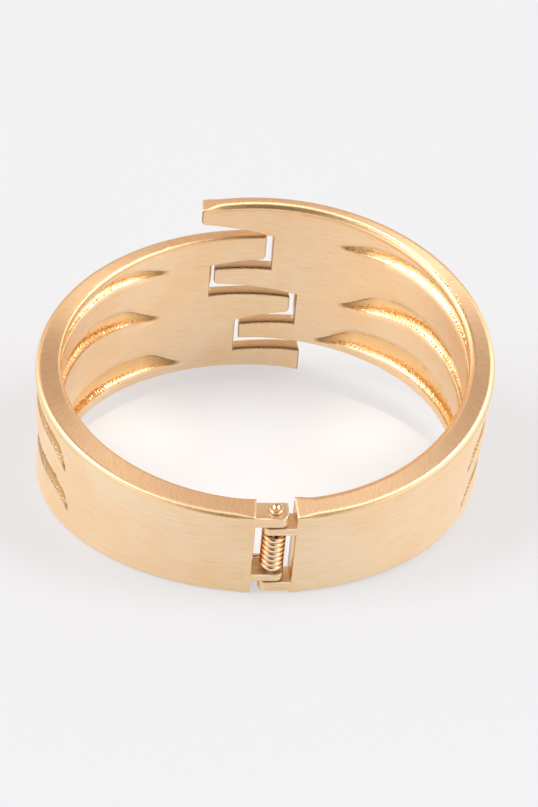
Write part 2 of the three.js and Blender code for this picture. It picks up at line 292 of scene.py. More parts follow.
# %% The oval as a table
walk_angles = np.radians(np.linspace(-25, 180, 4101))
near_fingers = 40


def walk_oval():
    angle = walk_angles
    reach = 1 / np.hypot(np.sin(angle) / half_width, np.cos(angle) / half_depth)
    x, y = reach * np.sin(angle), reach * np.cos(angle)
    out_x, out_y = x / half_width**2, y / half_depth**2
    size = np.hypot(out_x, out_y)
    out_x, out_y = out_x / size, out_y / size
    along = np.concatenate([[0], np.cumsum(np.hypot(np.diff(x), np.diff(y)))])
    along -= np.interp(0, angle, along)
    wall = wall_at(y)
    return {
        "along": along, "angle": np.degrees(angle), "x": x, "y": y, "wall": wall,
        "inner_x": x - out_x * wall, "inner_y": y - out_y * wall,
    }


oval = walk_oval()


def at(along, column):
    return np.interp(along, oval["along"], oval[column])


def along_at_x(x, column):
    """Distance along the band where the outer or inner face has this x, near the fingers."""
    near = np.abs(oval["angle"]) < near_fingers
    return np.interp(x, oval[column][near], oval["along"][near])


end_along = oval["along"][-1] - hinge_gap / 2
print("band length in mm:", round(end_along / mm, 1))

# %% [markdown]
# Valleys part the fingers on the outside, and a groove runs behind each finger on the inside.
# Each is a row of stations along the band: how high its middle lies, how wide it is and how
# deep. A straight line between stations would kink, so a smooth curve runs through them. It
# never overshoots a station, which keeps a groove from dipping where its depth should be even.

# %% Tables of valleys and grooves
valley_depth = 1.25 * mm
groove_depth = 1.45 * mm
finger_crown = 0.22 * mm
ANGLE, MIDDLE, WIDTH, DEPTH = range(4)
tip_angle = -math.degrees(math.atan2(longest_reach, half_depth))

valleys = {
    "left": [
        [(tip_angle, 0.275, 0.22, 0), (10, 0.275, 0.22, 1), (56, 0.395, 0.2, 1),
         (80, 0.41, 0.18, 1), (108, 0.385, 0.17, 1), (114, 0.315, 0.16, 1),
         (117.5, 0.25, 0.08, 0)],
        [(tip_angle, 0.7, 0.21, 0), (10, 0.7, 0.21, 1), (56, 0.775, 0.18, 1),
         (80, 0.81, 0.15, 1), (108, 0.785, 0.15, 1), (113, 0.735, 0.15, 1),
         (116.5, 0.655, 0.08, 0)],
    ],
    "right": [
        [(tip_angle, 0.263, 0.2, 0), (10, 0.263, 0.2, 1), (45, 0.317, 0.17, 1),
         (76, 0.38, 0.17, 1), (107, 0.315, 0.17, 1), (113, 0.23, 0.16, 1),
         (116.5, 0.16, 0.08, 0)],
        [(tip_angle, 0.665, 0.21, 0), (10, 0.665, 0.21, 1), (45, 0.685, 0.19, 1),
         (70, 0.745, 0.17, 1), (106, 0.7, 0.17, 1), (112.5, 0.62, 0.16, 1),
         (116, 0.555, 0.08, 0)],
    ],
}
grooves = {
    "left": [
        [(22, 0.08, 0.03, 0), (36, 0.145, 0.14, 0.7), (56, 0.16, 0.175, 1),
         (104, 0.175, 0.17, 1), (113, 0.15, 0.07, 0)],
        [(30, 0.489, 0.03, 0), (45, 0.585, 0.125, 0.7), (66, 0.65, 0.14, 1),
         (104, 0.62, 0.16, 1), (113, 0.57, 0.07, 0)],
        [(27, 0.828, 0.03, 0), (42, 0.89, 0.075, 0.55), (56, 0.918, 0.08, 0.8),
         (104, 0.915, 0.085, 0.8), (113, 0.9, 0.04, 0)],
    ],
    "right": [
        [(21, 0.044, 0.03, 0), (36, 0.125, 0.15, 0.8), (60, 0.168, 0.2, 1),
         (104, 0.17, 0.17, 1), (113, 0.14, 0.07, 0)],
        [(28, 0.37, 0.03, 0), (43, 0.472, 0.145, 0.8), (62, 0.54, 0.13, 1),
         (104, 0.52, 0.14, 1), (113, 0.46, 0.07, 0)],
        [(26, 0.8, 0.03, 0), (40, 0.853, 0.08, 0.6), (57, 0.9, 0.09, 0.8),
         (104, 0.91, 0.085, 0.8), (113, 0.88, 0.04, 0)],
    ],
}

# Across a valley or a groove, from its lower edge (-1) to its upper edge (1): share of depth.
valley_profile = [(-1, 0), (-0.5, 0.72), (0.1, 1), (0.7, 0.95), (0.95, 0.6), (1, 0)]
groove_profile = [(-1, 0), (-0.86, 0.42), (-0.4, 0.84), (0.2, 1), (0.8, 0.75), (1, 0)]


print("hollows:", {side: len(valleys[side]) + len(grooves[side]) for side in valleys})


def follow(rows, column, place):
    """One column of a table on a smooth curve through its rows, level at both ends."""
    table = np.array(rows, float)
    x, y = table[:, 0], table[:, column]
    step = np.diff(x)
    rise = np.diff(y) / step
    slope = np.zeros_like(x)
    same = rise[:-1] * rise[1:] > 0
    slope[1:-1][same] = 2 / (1 / rise[:-1][same] + 1 / rise[1:][same])
    i = np.clip(np.searchsorted(x, place) - 1, 0, len(x) - 2)
    t = np.clip((place - x[i]) / step[i], 0, 1)
    start = y[i] * (1 + 2 * t) * (1 - t) ** 2 + slope[i] * step[i] * t * (1 - t) ** 2
    end = y[i + 1] * t * t * (3 - 2 * t) - slope[i + 1] * step[i] * t * t * (1 - t)
    return start + end


def relief(side, face, angle, share):
    """Depth of the relief at places of the outer or inner face, and how far it is a hollow."""
    tables, profile, full = (
        (valleys[side], valley_profile, valley_depth)
        if face == "outer"
        else (grooves[side], groove_profile, groove_depth)
    )
    depth, hollow = np.zeros_like(share), np.zeros_like(share)
    below, below_deep = np.zeros_like(share), None
    for rows in [*tables, None]:
        if rows is None:
            low, deep = np.ones_like(share), below_deep
        else:
            middle, width = follow(rows, MIDDLE, angle), follow(rows, WIDTH, angle)
            low, deep = middle - width / 2, follow(rows, DEPTH, angle)
        if face == "outer":
            depth += crown_between(share, below, low, below_deep, deep, rows is None)
        if rows is None:
            break
        across = (share - middle) / (width / 2)
        inside = np.abs(across) < 1
        shape = follow(profile, 1, np.clip(across, -1, 1))
        crown = finger_crown * deep if face == "outer" else 0 * deep
        depth = np.where(inside, crown + (full * deep - crown) * shape, depth)
        hollow = np.where(inside, np.sqrt(deep) * shape, hollow)
        below, below_deep = middle + width / 2, deep
    return depth, hollow


def crown_between(share, low, high, low_deep, high_deep, at_top):
    """A finger's outer face falls away towards the valleys beside it."""
    if low_deep is None:
        middle = low
    elif at_top:
        middle = high
    else:
        middle = (low + high) / 2
    rising = np.where(share > middle, high - middle, middle - low)
    off = np.clip(np.abs(share - middle) / np.maximum(rising, 1e-6), 0, 1)
    deep = np.where(share > middle, high_deep, high_deep if low_deep is None else low_deep)
    here = (share >= low) & (share <= high)
    return np.where(here, finger_crown * deep * off**2, 0)


# %% [markdown]
# The fingers are what makes the bracelet: three on each half, tapering, with square upper
# corners and round lower ones. The outline is written once as levels on the closed stack of
# both halves, so a finger and the slot it lies in always agree.

# %% The fingers' outline
low_corner = 1.1 * mm
top_corner = 0.36 * mm
slot_gap = {"left": 0.65 * mm, "right": 1.0 * mm}
fingers = {
    "left": [
        {"reach": 0.21, "low": (0.65, 0.672), "slot_takes": 1},
        {"reach": 0.72, "top": (0.472, 0.463), "low": (0.305, 0.361), "slot_takes": 2},
        {"reach": 0.99, "top": (0.117, 0.14)},
    ],
    "right": [
        {"reach": 1.0, "low": (0.811, 0.894), "slot_takes": 0},
        {"reach": 0.72, "top": (0.621, 0.627), "low": (0.481, 0.534), "slot_takes": 1},
        {"reach": 0.19, "top": (0.305, 0.281)},
    ],
}


def bow(start, corner, end, steps=6):
    """Points of a rounded corner."""
    t = np.linspace(0, 1, steps + 1)[:, None]
    start, corner, end = (np.array(p) for p in (start, corner, end))
    return list(start * (1 - t) ** 2 + corner * 2 * t * (1 - t) + end * t**2)


def finger_outline(side):
    """From the upper rim down to the lower one: reach past the middle, and height."""
    own, other = fingers[side], fingers["right" if side == "left" else "left"]
    points = []
    for i, finger in enumerate(own):
        tip = finger["reach"] * longest_reach
        if "top" in finger:
            high = (finger["top"][1] - 0.5) * stack_height
            points += bow((tip - top_corner, high), (tip, high), (tip, high - top_corner))
        if "low" in finger:
            root, low = ((share - 0.5) * stack_height for share in finger["low"])
            slot = -(other[finger["slot_takes"]]["reach"] * longest_reach + slot_gap[side])
            points += bow((tip, low + low_corner), (tip, low), (tip - low_corner, low))
            points += [(slot, root), (slot, (own[i + 1]["top"][0] - 0.5) * stack_height)]
    return np.array(points, float)


print("finger outline points:", {side: len(finger_outline(side)) for side in fingers})


# %% [markdown]
# The blank's edge is one closed loop. Rims and the hinge end are square to the band, but the
# slots were cut straight through from front to back, so along the fingers the inner face's
# loop lies a little to the side of the outer one's. Each point of the loop has a place on both
# faces and, for each face, the radius that rounds it off there.

# %% The loop round a half's blank
loop_step = 0.4 * mm
rim_radius = {
    "left outer": {"lower rim": 0.5 * mm, "upper rim": 0.75 * mm},
    "left inner": {"lower rim": 0.5 * mm, "upper rim": 0.5 * mm},
    "right outer": {"lower rim": 0.5 * mm, "upper rim": 0.75 * mm},
    "right inner": {"lower rim": 0.35 * mm, "upper rim": 0.9 * mm},
}
rim_radius_run = 3 * mm
finger_radius = 0.24 * mm


def subdivide(points, step):
    """Adds points along straight stretches, and keeps the given ones."""
    full = []
    for a, b in zip(points[:-1], points[1:]):
        count = max(1, int(round(np.hypot(*(b - a)) / step)))
        full += [a + (b - a) * i / count for i in range(count)]
    return np.array(full + [points[-1]])


def flat_height(side, along, share):
    low, high = rims_at(side, at(along, "y"))
    return low + (high - low) * share


def rim_run(side, start, end, share, count):
    along = np.linspace(start, end, count)
    return np.column_stack([along, flat_height(side, along, share)])


def straight_run(a, b, clear_a, clear_b, count=10):
    """Points between two places, clear of both so that the rounding there has room."""
    length = np.hypot(*(b - a))
    return a + (b - a) * np.linspace(clear_a / length, 1 - clear_b / length, count)[:, None]


def face_loop(side, edge, x_name, y_name):
    """One face's loop, counter-clockwise: lower rim, hinge end, upper rim, fingers."""
    tip_low, tip_high = (fingers[side][i]["reach"] * longest_reach for i in (2, 0))
    start_low, start_high = (along_at_x(-tip, x_name) for tip in (tip_low, tip_high))
    count = int(end_along / loop_step)
    lower = rim_run(side, start_low, end_along, 0, count)
    upper = rim_run(side, end_along, start_high, 1, count)
    along = along_at_x(-edge[:, 0], x_name)
    low, high = rims_at(side, at(along, y_name))
    cut = np.column_stack([along, flat_height(side, along, (edge[:, 1] - low) / (high - low))])
    near, far = loop_step, finger_radius * 1.5
    return {
        "lower rim": lower,
        "hinge end": straight_run(lower[-1], upper[0], far, far, 28),
        "upper rim": upper,
        "upper tip": straight_run(upper[-1], cut[0], far, near),
        "fingers": cut,
        "lower tip": straight_run(cut[-1], lower[0], near, far),
    }


def radius_round(side, face, parts):
    """The rounding at each point of a loop; along a rim it grows from its ends."""
    radii = []
    for name, points in parts.items():
        radius = np.full(len(points), finger_radius)
        if "rim" in name:
            place = np.arange(len(points))
            t = np.clip(np.minimum(place, place[::-1]) * loop_step / rim_radius_run, 0, 1)
            grown = rim_radius[side + " " + face][name] - finger_radius
            radius += grown * t * t * (3 - 2 * t)
        radii.append(radius)
    return np.concatenate(radii)


def blank_loop(side):
    edge = subdivide(finger_outline(side), loop_step)
    loops = {
        "outer": face_loop(side, edge, "x", "y"),
        "inner": face_loop(side, edge, "inner_x", "inner_y"),
    }
    rim = np.concatenate([np.full(len(p), "rim" in name) for name, p in loops["outer"].items()])
    radii = {face: radius_round(side, face, parts) for face, parts in loops.items()}
    return {face: np.vstack(list(parts.values())) for face, parts in loops.items()}, radii, rim


print("loop points:", {side: len(blank_loop(side)[2]) for side in fingers})

# %% [markdown]
# Between the two faces the loop is carried round each edge in a quarter circle and straight
# across the wall, which gives every rim, finger and slot a real rounded edge. A Bevel modifier
# could round a plain extrusion, but where hollows run out into a slot it leaves torn corners.
# Inside the loop the faces are filled with rows that follow the hollows, so their edges stay
# crisp. Layers of numbers go with the points, so that the gold can tell a brushed face from a
# rim, a bright hollow or a deep corner, where shade is painted.

# %% A flat blank with rounded edges
column_step = 0.55 * mm
clear_of_edge = 0.3 * mm
edge_turns = np.radians([0, 22.5, 45, 67.5, 90])
crossing_steps = (0.06, 0.35, 0.65, 0.94)
rim_polish = {"outer": 0.45, "inner": 0.6}
cut_polish = {"outer": 0.2, "inner": 1.0}
corner_polish = 0.8
hollow_onset = 4
# How dark the painted shade in the outer valleys is.
valley_painted_shade = 0.6
tip_run_degrees = 14
blank_layers = {"share": 3, "polish": 4, "rim": 5, "cast": 6, "painted_shade": 7}
hollow_rows = (-1, -0.92, -0.8, -0.65, -0.45, -0.2, 0.1, 0.35, 0.55, 0.72, 0.84, 0.92, 1)
flat_rows = np.linspace(0, 1, 7)[1:-1]


def inset(loop, distance):
    """The loop moved inwards, mitred at its corners."""
    step = np.roll(loop, -1, axis=0) - loop
    step /= np.hypot(step[:, 0], step[:, 1])[:, None]
    after = np.column_stack([-step[:, 1], step[:, 0]])
    before = np.roll(after, 1, axis=0)
    mitre = (after + before) / (1 + (after * before).sum(axis=1))[:, None]
    return loop + mitre * distance[:, None]


def share_of(side, points):
    low, high = rims_at(side, at(points[:, 0], "y"))
    return (points[:, 1] - low) / (high - low)


def row_shares(side, face, angle):
    """Shares of the height at which a face gets its rows, closer together in the hollows."""
    tables = valleys[side] if face == "outer" else grooves[side]
    rows, below = [], np.zeros_like(angle)
    for table in tables:
        middle, width = follow(table, MIDDLE, angle), follow(table, WIDTH, angle)
        rows += [below + (middle - width / 2 - below) * t for t in flat_rows]
        rows += [middle + width / 2 * t for t in hollow_rows]
        below = middle + width / 2
    rows += [below + (1 - below) * t for t in flat_rows]
    return rows


def inside(points, loop):
    """Whether each point lies inside the loop, by counting crossings."""
    a, b = loop, np.roll(loop, -1, axis=0)
    x, y = points[:, 0][:, None], points[:, 1][:, None]
    spans = (a[:, 1] > y) != (b[:, 1] > y)
    with np.errstate(divide="ignore", invalid="ignore"):
        cross = a[:, 0] + (y - a[:, 1]) / (b[:, 1] - a[:, 1]) * (b[:, 0] - a[:, 0])
    return (spans & (x < cross)).sum(axis=1) % 2 == 1


def fill_face(side, face, loop):
    """Points inside a face's loop, and the triangles that fill it."""
    along = np.arange(loop[:, 0].min(), loop[:, 0].max(), column_step)
    angle = at(along, "angle")
    points = np.vstack([
        np.column_stack([along, flat_height(side, along, share)])
        for share in row_shares(side, face, angle)
    ])
    gap = np.min(np.hypot(*(points[:, None, :] - loop[None, :, :]).transpose(2, 0, 1)), axis=1)
    points = points[inside(points, loop) & (gap > clear_of_edge)]
    every = np.vstack([loop, points]) / mm
    ring = [list(range(len(loop)))]
    made = delaunay_2d_cdt([Vector(p) for p in every], [], ring, 1, 1e-7)
    origin = [names[0] for names in made[3]]
    return points, [[origin[i] for i in triangle] for triangle in made[2]]


def front_tip(side, points):
    """1 at the front end of each inner channel, falling to 0 along it: where shade is painted."""
    angle, share = at(points[:, 0], "angle"), share_of(side, points)
    tip = np.zeros_like(angle)
    for table in grooves[side]:
        off = np.abs(share - follow(table, MIDDLE, angle)) / follow(table, WIDTH, angle)
        near = np.clip(1 - (angle - table[0][ANGLE]) / tip_run_degrees, 0, 1)
        tip = np.maximum(tip, (off < 0.5) * near)
    return tip


def blank_mesh(side):
    """The flat blank of one half: X along the band, Y outwards, Z up."""
    sign = -1 if side == "left" else 1
    loops, radii, rim = blank_loop(side)
    rows, faces, count = [], [], len(rim)

    def add(points, inward, polish, rimness, cast, painted_shade):
        share = share_of(side, points)
        rows.append(np.column_stack([points, inward, share, polish, rimness, cast, painted_shade]))

    def place(face, points, extra):
        angle, share = at(points[:, 0], "angle"), share_of(side, points)
        depth, hollow = relief(side, face, angle, share)
        if face == "outer":
            return depth + extra, hollow
        return at(points[:, 0], "wall") - depth - extra, hollow

    def edge_ring(face, turn):
        points = inset(loops[face], radii[face] * (1 - math.sin(turn)))
        inward, hollow = place(face, points, radii[face] * (1 - math.cos(turn)))
        polish = np.where(rim, rim_polish[face], corner_polish)
        edge = polish * math.sqrt(abs(math.sin(2 * turn)))
        cut = np.where(rim, 0, 1) * math.sin(turn) * cut_polish[face]
        # Painted shade: in the valleys on the outer face, and on slot walls next to the inner
        # face.
        painted_shade = valley_painted_shade * hollow if face == "outer" else np.where(rim, 0, math.sin(turn))
        add(points, inward, np.maximum(edge, cut), rim * math.sin(turn), cut, painted_shade)
        return rows[-1]

    for turn in edge_turns:
        outer_edge = edge_ring("outer", turn)
    crossing = len(rows)
    for turn in edge_turns[::-1]:
        inner_edge = edge_ring("inner", turn)
        if turn == edge_turns[-1]:
            across = inner_edge
    rows[crossing:crossing] = [
        outer_edge + (across - outer_edge) * step for step in crossing_steps
    ]
    for row, step in zip(rows[crossing:], crossing_steps):
        # The painted shade grows across the slot walls towards the inner face.
        row[:, blank_layers["painted_shade"]] *= step
    for ring in range(len(rows) - 1):
        for i in range(count):
            j, a, b = (i + 1) % count, ring * count, (ring + 1) * count
            faces.append(([b + i, a + i, a + j, b + j], bool(rim[i] and rim[j])))
    start = (len(rows) - 1) * count
    for face, first, flip in (("inner", start, False), ("outer", 0, True)):
        loop = rows[first // count][:, :2]
        points, triangles = fill_face(side, face, loop)
        inward, hollow = place(face, points, 0)
        base = sum(len(r) for r in rows)
        bright = np.clip(hollow * hollow_onset, 0, 1)
        # Painted shade in the valleys, and at the front tips of the inner channels.
        painted_shade = valley_painted_shade * bright if face == "outer" else front_tip(side, points) * bright
        add(points, inward, bright, 0 * hollow, bright, painted_shade)
        for triangle in triangles:
            ids = [first + i if i < count else base + i - count for i in triangle]
            faces.append((ids[::-1] if flip else ids, False))
    data = np.vstack(rows)
    if sign < 0:
        faces = [(ids[::-1], on_rim) for ids, on_rim in faces]
    mesh = bpy.data.meshes.new(side + "_blank")
    flat = np.column_stack([sign * data[:, 0], -data[:, 2], data[:, 1]])
    mesh.from_pydata(flat.tolist(), [], [ids for ids, on_rim in faces])
    for name, column in blank_layers.items():
        layer = mesh.attributes.new(name, "FLOAT", "POINT")
        layer.data.foreach_set("value", data[:, column].astype(np.float32))
    uv = []
    for ids, on_rim in faces:
        a, b = (2, 0) if on_rim else (0, 1)
        uv += [(data[i, a] / cm, data[i, b] / cm) for i in ids]
    mesh.uv_layers.new(name="brush").data.foreach_set("uv", np.array(uv, np.float32).ravel())
    return mesh


blanks = {side: blank_mesh(side) for side in ("left", "right")}
for side, mesh in blanks.items():
    print(side, "blank:", len(mesh.vertices), "vertices,", len(mesh.polygons), "faces")

# %% [markdown]
# Now the blank is bent round the oval. A Curve modifier could bend it, but its stretch can't be
# checked, so a small Geometry Nodes tree does it by rule: the distance along the blank is looked
# up on the oval, the point is pushed in from there by its depth, and rims stay flat planes. The
# last node leans the whole half as it lies on the table.

# %% Bend the blank round the oval
pin_y = -(half_depth - wall_at_hinge / 2)
pin_place = Vector(frame["joints"][0]["pos_m"])
leaning = Matrix.Rotation(lean, 4, "X")
lift = pin_place - leaning @ Vector((0, pin_y, 0))
settle = Matrix.Translation(lift) @ leaning


def oval_bend_tree():
    tree, board, entry, end = shape_tree("bend_round_oval", {
        "Outer Width": 0.066, "Outer Depth": 0.057, "Rim Run": 0.057,
        "Lower Rim Drop": 0.0, "Upper Rim Climb": 0.0,
    })
    circle = board.add("GeometryNodeCurvePrimitiveCircle", {"Resolution": 2048, "Radius": 1.0})
    half_w = board.math("MULTIPLY", entry["Outer Width"], 0.5)
    half_d = board.math("MULTIPLY", entry["Outer Depth"], 0.5)
    oval_curve = board.out("GeometryNodeTransform", {
        "Geometry": circle.outputs["Curve"],
        "Scale": board.join(half_d, half_w, 1.0),
        "Rotation": (0, 0, -math.pi / 2),
    })
    length = board.out("GeometryNodeCurveLength", {"Curve": oval_curve})
    flat = board.parts(board.out("GeometryNodeInputPosition"))
    from_hinge = board.math("SUBTRACT", board.math("MULTIPLY", length, 0.5), flat[0])
    sample = board.add(
        "GeometryNodeSampleCurve", {"Curves": oval_curve, "Length": from_hinge}, mode="LENGTH"
    )
    outer = sample.outputs["Position"]
    inward = board.vector("CROSS_PRODUCT", (0, 0, 1), sample.outputs["Tangent"])
    pushed = board.out("ShaderNodeVectorMath", {
        0: inward, "Scale": board.math("MULTIPLY", flat[1], -1.0),
    }, operation="SCALE")
    share = board.out("GeometryNodeInputNamedAttribute", {"Name": "share"}, data_type="FLOAT")
    drop = board.math("MULTIPLY", entry["Lower Rim Drop"], -1.0)
    slope = board.mix(share, drop, entry["Upper Rim Climb"])
    slope = board.math("DIVIDE", slope, entry["Rim Run"])
    rise = board.math("MULTIPLY", board.parts(pushed)[1], slope)
    height = board.join(0.0, 0.0, board.math("ADD", flat[2], rise))
    place = board.vector("ADD", board.vector("ADD", outer, pushed), height)
    moved = board.out("GeometryNodeSetPosition", {
        "Geometry": entry["Geometry"], "Position": place,
    })
    lay_and_paint(board, entry, end, moved)
    return tree


# %% [markdown]
# The gold itself. All of the bracelet is cast metal under one plating, so there is one alloy
# with two finishes. Flat faces are brushed: fine lines along the band, and strokes across the
# rims. Hollows, slot walls and small hinge parts were only tumbled bright, so they mirror the
# room with a faint casting grain. Both patterns are shader node groups, so that each material
# places them with values of its own.

# %% Shader groups: brush marks and casting grain
broad_stretch = (0.45, 0.22, 1.0)
broad_height = 0.4
broad_tone = 0.2
swell_height = 0.9
patches_per_metre = 90.0


def brush_group():
    """Fine lines along the U direction of the piece's own map, as height and as tone."""
    tree, board, entry, end = new_tree(
        "brush_marks",
        "ShaderNodeTree",
        [
            ("Map", "NodeSocketVector", None),
            ("Lines per cm", "NodeSocketFloat", 60.0),
            ("Strokes per cm", "NodeSocketFloat", 2.0),
            ("Turn", "NodeSocketFloat", 0.0),
        ],
        [("Height", "NodeSocketFloat"), ("Tone", "NodeSocketFloat")],
    )
    turned = board.out("ShaderNodeVectorRotate", {
        "Vector": entry["Map"], "Angle": entry["Turn"],
    }, rotation_type="Z_AXIS")
    stretch = board.join(entry["Strokes per cm"], entry["Lines per cm"], 1.0)
    lines = board.vector("MULTIPLY", turned, stretch)
    fine = board.noise(lines, 1.0, 3.0, 0.6)
    broad = board.noise(board.vector("MULTIPLY", lines, broad_stretch), 1.0, 2.0)
    board.fill(end["Height"], board.math("MULTIPLY_ADD", broad, broad_height, fine))
    board.fill(end["Tone"], board.mix(broad_tone, fine, broad))
    return tree


def grain_group():
    """The unevenness of bright cast metal, from object coordinates."""
    tree, board, entry, end = new_tree(
        "casting_grain",
        "ShaderNodeTree",
        [("Grain mm", "NodeSocketFloat", 0.4), ("Swell mm", "NodeSocketFloat", 1.8)],
        [("Height", "NodeSocketFloat"), ("Patches", "NodeSocketFloat")],
    )
    place = board.add("ShaderNodeTexCoord").outputs["Object"]
    grain, swell = (
        board.noise(place, board.math("DIVIDE", 1 / mm, entry[size]), 1.0)
        for size in ("Grain mm", "Swell mm")
    )
    board.fill(end["Height"], board.math("MULTIPLY_ADD", swell, swell_height, grain))
    board.fill(end["Patches"], board.noise(place, patches_per_metre, 2.0))
    return tree


brush_marks = brush_group()
casting_grain = grain_group()
print("shader groups:", brush_marks.name, casting_grain.name)

# %% [markdown]
# Plated castings are metal all through, so Metallic is 1 and the colour is the gold's own. What
# sets the two finishes apart is roughness and the small slopes of the surface. Brushed metal
# spreads its highlights across the strokes, which is why the rims are bright beside the hinge
# and dark at the sides. Its colour wavers between a deep and a pale gold, patch by patch, and
# rims have a colour of their own, crossed by a second set of strokes.
#
# The mesh's layers say where each finish lies, and where shade is painted. Polish is 1 in
# hollows, slots and on inner edges, cast is 1 where the skin keeps its casting grain, and the
# last layer darkens the valleys, the front of the slot walls and the tips of the inner channels
# with painted shade, and gives them a coarser grain. Such dark corners could be left to the
# lights, but hollows this shallow shade themselves too little. The wire and the pin have no
# layers and are evenly bright.

# %% Gold
deep_colour = (1.0, 0.69, 0.4, 1)
pale_colour = (1.0, 0.785, 0.54, 1)
rim_colour = (1.0, 0.69, 0.42, 1)
wire_colour = (1.0, 0.74, 0.48, 1)
bright_colour = (1.0, 0.62, 0.28, 1)
# Painted shade: the dark colour laid into valleys, slot fronts and channel tips.
painted_shade_colour = (0.16, 0.07, 0.02, 1)
brush_depth = 0.016
grain_depth = 0.075
recess_grain = 2
wire_grain = 0.1
along_strokes = {"Lines per cm": 120.0, "Strokes per cm": 3.0, "Turn": 0.0}
crossed_strokes = {"Lines per cm": 34.0, "Strokes per cm": 5.0, "Turn": 0.6}
crossed_share = 0.6
face_swing = 0.45
rim_swing = 0.7
patch_share = 0.8
pale_span = (0.72, 1.08)
texture_span = (0.3, 0.7)
satin_roughness = (0.46, 0.36)
bright_roughness = (0.05, 0.13)
highlight_spread = 0.7
quarter_turn = 0.25


def cast_skin(board, grain_size):
    """The patches, roughness and height of bright cast metal."""
    grain = board.add("ShaderNodeGroup", node_tree=casting_grain).outputs
    rough = board.ramp(grain["Patches"], texture_span, bright_roughness)
    return grain["Patches"], rough, board.math("MULTIPLY", grain["Height"], grain_size)


def bump(board, height):
    return board.out("ShaderNodeBump", {"Strength": 1.0, "Distance": mm, "Height": height})


def make_satin_gold():
    """Brushed gold that is bright, grained or dark where the mesh's layers say so."""
    material, board, shader = new_material("satin_gold", {
        "Metallic": 1.0, "Anisotropic": highlight_spread, "Anisotropic Rotation": quarter_turn,
    })
    tangent = board.out("ShaderNodeTangent", direction_type="UV_MAP", uv_map="brush")
    board.fill(shader["Tangent"], tangent)
    uv = board.out("ShaderNodeUVMap", uv_map="brush")
    along, crossed = (
        board.add("ShaderNodeGroup", {"Map": uv, **strokes}, node_tree=brush_marks).outputs
        for strokes in (along_strokes, crossed_strokes)
    )
    polish, cast, rim, painted_shade = (board.layer(n) for n in ("polish", "cast", "rim", "painted_shade"))
    crossing = board.math("MULTIPLY", rim, crossed_share)
    tone = board.mix(crossing, along["Tone"], crossed["Tone"])
    height = board.mix(crossing, along["Height"], crossed["Height"])
    height = board.math("MULTIPLY", height, board.math("ADD", rim, 1.0))
    height = board.math("MULTIPLY", height, brush_depth)
    satin = board.ramp(tone, texture_span, satin_roughness)
    # The painted shade layer also gives those places a coarser casting grain.
    grain_size = board.math("MULTIPLY_ADD", painted_shade, recess_grain * grain_depth, grain_depth)
    patches, bright, cast_height = cast_skin(board, grain_size)

    swing = board.math("MULTIPLY_ADD", rim, rim_swing, face_swing)
    shade = board.math("MULTIPLY_ADD", board.math("SUBTRACT", tone, 0.5), swing, 1.0)
    patchy = board.math("MULTIPLY_ADD", patches, patch_share, tone)
    faces = board.mix_colour(board.ramp(patchy, pale_span), deep_colour, pale_colour)
    plated = board.mix_colour(rim, faces, rim_colour)
    brushed = board.mix_colour(1.0, plated, board.join(shade, shade, shade), "MULTIPLY")
    # Painted shade: the last layer turns the bright gold dark brown in hollows and slot fronts.
    bare = board.mix_colour(painted_shade, bright_colour, painted_shade_colour)

    board.fill(shader["Base Color"], board.mix_colour(polish, brushed, bare))
    board.fill(shader["Roughness"], board.mix(polish, satin, bright))
    board.fill(shader["Normal"], bump(board, board.mix(cast, height, cast_height)))
    return material


def make_polished_gold():
    """Bright gold for the wire and the pin, with hardly any grain."""
    material, board, shader = new_material("polished_gold", {
        "Metallic": 1.0, "Base Color": wire_colour,
    })
    patches, bright, height = cast_skin(board, wire_grain * grain_depth)
    board.fill(shader["Roughness"], bright)
    board.fill(shader["Normal"], bump(board, height))
    return material


satin_gold = make_satin_gold()
polished_gold = make_polished_gold()
print("materials:", satin_gold.name, polished_gold.name)

# %% [markdown]
# Each half has two lugs soldered to its hinge end, a thick one outside and a thin one inside.
# They are plates with a rounded corner and softly broken edges, and a hole for the pin. They
# are joined to the casting with a boolean, because soldered metal is one body.

# %% Lugs
cap_lug_thickness = 1.85 * mm
lug_thickness = 1.35 * mm
lug_gap = 0.3 * mm
lug_reach = 1.75 * mm
lug_inset = 0.25 * mm
lug_corner = 1.1 * mm
lug_root = 1.2 * mm
lug_edge = 0.16 * mm
lug_polish = 0.5
lug_end_share = 1.1
sharp_angle = math.radians(40)
hole_sides = 40
pin_radius = 0.62 * mm
pin_clearance = 0.3 * mm
cap_top = hinge_height / 2 - lug_inset
cap_low = cap_top - cap_lug_thickness
lug_top = cap_low - lug_gap
lug_low = lug_top - lug_thickness
hole_radius = pin_radius + pin_clearance
lug_levels = {
    "left": [(cap_low, cap_top), (-lug_top, -lug_low)],
    "right": [(lug_low, lug_top), (-cap_top, -cap_low)],
}


def mesh_from(bm, name):
    bmesh.ops.recalc_face_normals(bm, faces=bm.faces)
    mesh = bpy.data.meshes.new(name)
    bm.to_mesh(mesh)
    bm.free()
    return mesh


def lug_piece(side, low, high):
    sign = 1 if side == "left" else -1
    root = -(hinge_gap / 2 + lug_root)
    outer = pin_y - wall_at_hinge / 2 + lug_inset
    inner = pin_y + wall_at_hinge / 2 - lug_inset
    corner = bow(
        (lug_reach - lug_corner, outer), (lug_reach, outer), (lug_reach, outer + lug_corner), 8
    )
    outline = [(root, inner), (root, outer), *corner, (lug_reach, inner)]
    bm = bmesh.new()
    face = bm.faces.new([bm.verts.new((sign * x, y, low)) for x, y in outline])
    raised = bmesh.ops.extrude_face_region(bm, geom=[face])["geom"]
    top = [v for v in raised if isinstance(v, bmesh.types.BMVert)]
    bmesh.ops.translate(bm, verts=top, vec=(0, 0, high - low))
    sharp = [e for e in bm.edges if e.is_manifold and e.calc_face_angle() > sharp_angle]
    bmesh.ops.bevel(bm, geom=sharp, offset=lug_edge, segments=3, profile=0.5, affect="EDGES")
    bm.transform(settle)
    return link_piece("lug", mesh_from(bm, "lug"))


